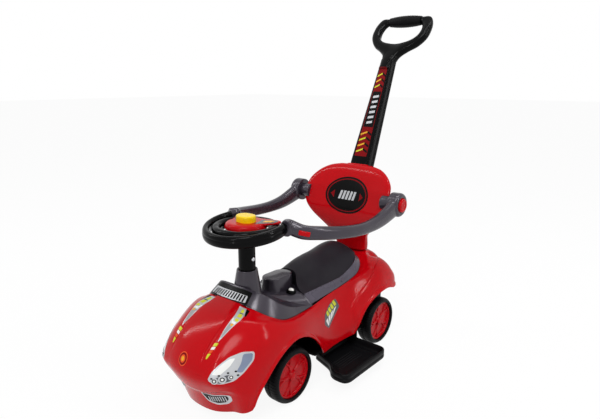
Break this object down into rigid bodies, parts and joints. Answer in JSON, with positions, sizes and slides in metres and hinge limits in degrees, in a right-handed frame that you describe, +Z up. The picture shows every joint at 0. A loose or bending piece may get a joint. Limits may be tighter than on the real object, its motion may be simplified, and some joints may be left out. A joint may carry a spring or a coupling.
{
  "type": "ride-on push car",
  "caption": "Toddler ride-on push car with steerable wheels, horn wheel, safety guard, backrest, lift-up seat, pull-out footrests and parent handle.",
  "frame": {"origin": "on the ground under the middle of the car's length and width", "axes": "+Z up, the nose points along -Y, the child's left is +X"},
  "size_m": [0.412, 0.8932, 0.9026],
  "materials": {
    "red_shell": "glossy",
    "black_gloss": "glossy",
    "black_plastic": "satin",
    "tyre_black": "matte",
    "gunmetal": "satin",
    "silver_trim": "satin",
    "charcoal_seat": "satin",
    "yellow_button": "glossy",
    "pale_dome": "glossy",
    "steel": "satin"
  },
  "bodies": {
    "car": {"body_shell": "red_shell", "chassis_plate": "black_plastic", "storage_tub": "black_plastic", "chassis_screw_1": "steel", "chassis_screw_2": "steel", "chassis_screw_3": "steel", "chassis_screw_4": "steel", "kingpin_left": "steel", "kingpin_right": "steel", "rear_bush_left": "black_plastic", "rear_bush_right": "black_plastic", "rear_axle": "steel", "axle_nut_rear_left": "steel", "axle_nut_rear_right": "steel", "steering_bush": "black_plastic", "dashboard": "gunmetal", "ignition_bezel": "black_gloss", "seat_trim": "silver_trim", "seat_hinge_pin": "steel", "backrest": "red_shell", "backrest_screw_left": "steel", "backrest_screw_right": "steel", "guard_bolt_left": "steel", "guard_bolt_right": "steel"},
    "steering_column": {"steering_rod": "steel", "steering_neck": "black_gloss", "neck_screw": "steel", "steering_wheel": "black_gloss", "horn_pod": "red_shell"},
    "horn": {"horn_button": "yellow_button"},
    "tie_rod": {"tie_rod": "steel"},
    "ignition": {"ignition_knob": "pale_dome"},
    "seat": {"seat_lid": "charcoal_seat"},
    "guard": {"guard_hoop": "black_gloss", "guard_arm_left": "gunmetal", "guard_arm_right": "gunmetal", "guard_cap_left": "red_shell", "guard_cap_right": "red_shell"},
    "handle": {"push_handle": "black_gloss", "grip_sleeve": "black_plastic"},
    "knuckle_left": {"knuckle_left": "black_plastic", "stub_axle_left": "steel", "axle_nut_front_left": "steel"},
    "wheel_front_left": {"tyre_front_left": "tyre_black", "wheel_disc_front_left": "red_shell"},
    "wheel_rear_left": {"tyre_rear_left": "tyre_black", "wheel_disc_rear_left": "red_shell"},
    "latch_left": {"guard_latch_left": "red_shell"},
    "footrest_left": {"footrest_left": "black_plastic"},
    "knuckle_right": {"knuckle_right": "black_plastic", "stub_axle_right": "steel", "axle_nut_front_right": "steel"},
    "wheel_front_right": {"tyre_front_right": "tyre_black", "wheel_disc_front_right": "red_shell"},
    "wheel_rear_right": {"tyre_rear_right": "tyre_black", "wheel_disc_rear_right": "red_shell"},
    "latch_right": {"guard_latch_right": "red_shell"},
    "footrest_right": {"footrest_right": "black_plastic"}
  },
  "joints": [
    {"name": "steering_turn", "type": "hinge", "parent": "car", "child": "steering_column", "pos_m": [0, -0.2518, 0.3], "axis": [0, 0, 1], "range_deg": [-30, 30]},
    {"name": "horn_press", "type": "slide", "parent": "steering_column", "child": "horn", "axis": [0, 0, -1], "range_m": [0, 0.004], "stiffness_N_per_m": 400},
    {"name": "tie_rod_slide", "type": "slide", "parent": "car", "child": "tie_rod", "axis": [1, 0, 0], "range_m": [-0.0125, 0.0125]},
    {"name": "ignition_turn", "type": "hinge", "parent": "car", "child": "ignition", "pos_m": [0.042, -0.1478, 0.22159], "axis": [0, 0.2297, 0.9733], "range_deg": [0, 90]},
    {"name": "seat_lift", "type": "hinge", "parent": "car", "child": "seat", "pos_m": [0, -0.0958, 0.236], "axis": [1, 0, 0], "range_deg": [0, 60]},
    {"name": "guard_lift", "type": "hinge", "parent": "car", "child": "guard", "pos_m": [0, 0.1312, 0.404], "axis": [-1, 0, 0], "range_deg": [0, 70]},
    {"name": "handle_lift", "type": "slide", "parent": "car", "child": "handle", "axis": [0, 0.4004, 0.9163], "range_m": [0, 0.08]},
    {"name": "knuckle_left_turn", "type": "hinge", "parent": "car", "child": "knuckle_left", "pos_m": [0.072, -0.2338, 0.065], "axis": [0, 0, 1], "range_deg": [-20, 20]},
    {"name": "wheel_front_left_spin", "type": "hinge", "parent": "knuckle_left", "child": "wheel_front_left", "pos_m": [0.107, -0.2338, 0.065], "axis": [1, 0, 0], "continuous": true},
    {"name": "wheel_rear_left_spin", "type": "hinge", "parent": "car", "child": "wheel_rear_left", "pos_m": [0.107, 0.1362, 0.065], "axis": [1, 0, 0], "continuous": true},
    {"name": "latch_left_press", "type": "slide", "parent": "guard", "child": "latch_left", "axis": [-0.6624, 0.7492, 0], "range_m": [0, 0.002], "stiffness_N_per_m": 400},
    {"name": "footrest_left_slide", "type": "slide", "parent": "car", "child": "footrest_left", "axis": [-1, 0, 0], "range_m": [0, 0.075]},
    {"name": "knuckle_right_turn", "type": "hinge", "parent": "car", "child": "knuckle_right", "pos_m": [-0.072, -0.2338, 0.065], "axis": [0, 0, 1], "range_deg": [-20, 20]},
    {"name": "wheel_front_right_spin", "type": "hinge", "parent": "knuckle_right", "child": "wheel_front_right", "pos_m": [-0.107, -0.2338, 0.065], "axis": [1, 0, 0], "continuous": true},
    {"name": "wheel_rear_right_spin", "type": "hinge", "parent": "car", "child": "wheel_rear_right", "pos_m": [-0.107, 0.1362, 0.065], "axis": [1, 0, 0], "continuous": true},
    {"name": "latch_right_press", "type": "slide", "parent": "guard", "child": "latch_right", "axis": [0.6624, 0.7492, 0], "range_m": [0, 0.002], "stiffness_N_per_m": 400},
    {"name": "footrest_right_slide", "type": "slide", "parent": "car", "child": "footrest_right", "axis": [1, 0, 0], "range_m": [0, 0.075]}
  ],
  "couplings": [
    {"joint": "tie_rod_slide", "follows": "steering_turn", "m_per_rad": 0.0213},
    {"joint": "knuckle_left_turn", "follows": "steering_turn", "ratio": 0.634},
    {"joint": "knuckle_right_turn", "follows": "steering_turn", "ratio": 0.634}
  ]
}
